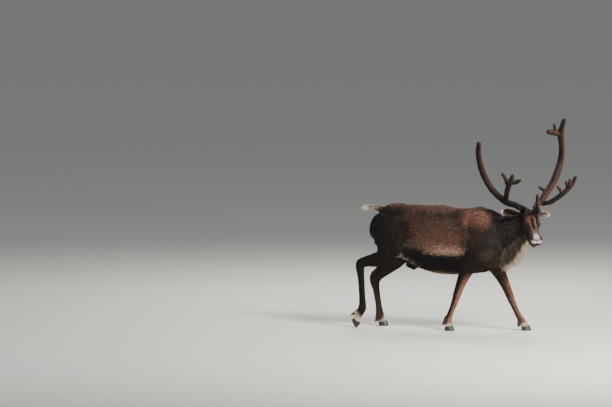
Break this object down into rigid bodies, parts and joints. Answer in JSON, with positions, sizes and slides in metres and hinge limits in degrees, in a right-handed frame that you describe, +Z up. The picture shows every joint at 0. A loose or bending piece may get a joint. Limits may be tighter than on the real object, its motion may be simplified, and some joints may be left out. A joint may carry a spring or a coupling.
{
  "type": "reindeer",
  "caption": "Life-size walking reindeer bull in velvet and dark summer coat, head turned to its right, with wide branched antlers and a pale throat mane; a still museum model.",
  "frame": {"origin": "on the floor, under the middle of the model's box", "axes": "+X the way the body walks, +Y the animal's left, +Z up"},
  "size_m": [2.0696, 0.757, 1.9118],
  "materials": {
    "coat": "short dark brown summer hair over hide, dull, with a soft sheen",
    "pale_coat": "longer off-white hair, dull",
    "velvet": "brown antler velvet, short plush hair",
    "horn": "dark hoof horn, satin",
    "eye": "dark wet eye, polished"
  },
  "bodies": {
    "root": {"antler_left_bez_tine": "velvet", "antler_left_brow_tine": "velvet", "antler_left_crown": "velvet", "antler_left_lower_beam": "velvet", "antler_left_upper_beam": "velvet", "antler_right_bez_tine": "velvet", "antler_right_lower_beam": "velvet", "antler_right_upper_beam": "velvet", "ear_left": "coat", "ear_right": "coat", "eye_left": "eye", "eye_right": "eye", "foreleg_left_dewclaw_left": "horn", "foreleg_left_dewclaw_right": "horn", "foreleg_left_hoof_left": "horn", "foreleg_left_hoof_right": "horn", "foreleg_left_lower": "coat", "foreleg_left_upper": "coat", "foreleg_right_dewclaw_left": "horn", "foreleg_right_dewclaw_right": "horn", "foreleg_right_hoof_left": "horn", "foreleg_right_hoof_right": "horn", "foreleg_right_lower": "coat", "foreleg_right_upper": "coat", "head": "coat", "hindleg_left_dewclaw_left": "horn", "hindleg_left_dewclaw_right": "horn", "hindleg_left_hoof_left": "horn", "hindleg_left_hoof_right": "horn", "hindleg_left_lower": "coat", "hindleg_left_upper": "coat", "hindleg_right_dewclaw_left": "horn", "hindleg_right_dewclaw_right": "horn", "hindleg_right_hoof_left": "horn", "hindleg_right_hoof_right": "horn", "hindleg_right_lower": "coat", "hindleg_right_upper": "coat", "neck": "coat", "tail": "pale_coat", "torso": "coat"}
  },
  "joints": []
}
